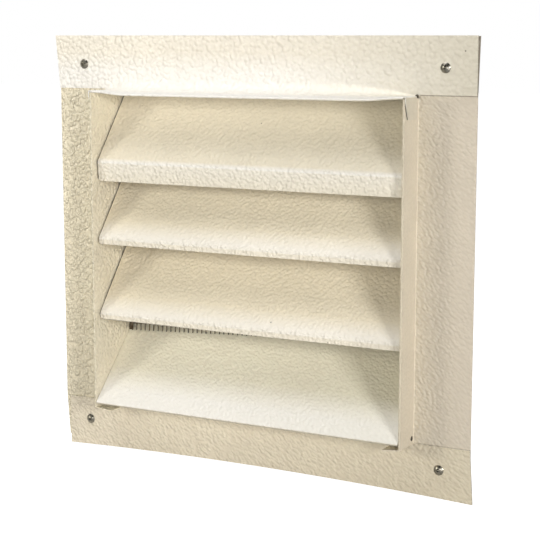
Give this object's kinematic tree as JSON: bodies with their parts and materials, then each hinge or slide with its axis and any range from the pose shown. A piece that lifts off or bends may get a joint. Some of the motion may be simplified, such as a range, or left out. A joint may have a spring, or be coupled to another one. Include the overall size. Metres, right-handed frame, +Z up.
{
  "type": "gable louvred vent",
  "caption": "Square gable vent of folded painted sheet: wall flange riveted at its corners, raised box, fixed sloping louvre blades and an insect screen behind.",
  "frame": {"origin": "centre of the raised box, in the plane of the wall face that the jamb flanges bear on", "axes": "+X to the right seen from outside, +Y into the wall, +Z up"},
  "size_m": [0.296, 0.0445, 0.2728],
  "materials": {
    "painted_sheet": "stucco embossed, satin",
    "screen_wire": "woven wire, dull",
    "rivet_metal": "mill"
  },
  "bodies": {
    "root": {"head": "painted_sheet", "sill": "painted_sheet", "left_jamb": "painted_sheet", "right_jamb": "painted_sheet", "louvre_1": "painted_sheet", "louvre_2": "painted_sheet", "louvre_3": "painted_sheet", "insect_screen": "screen_wire", "corner_rivets": "rivet_metal"}
  },
  "joints": []
}
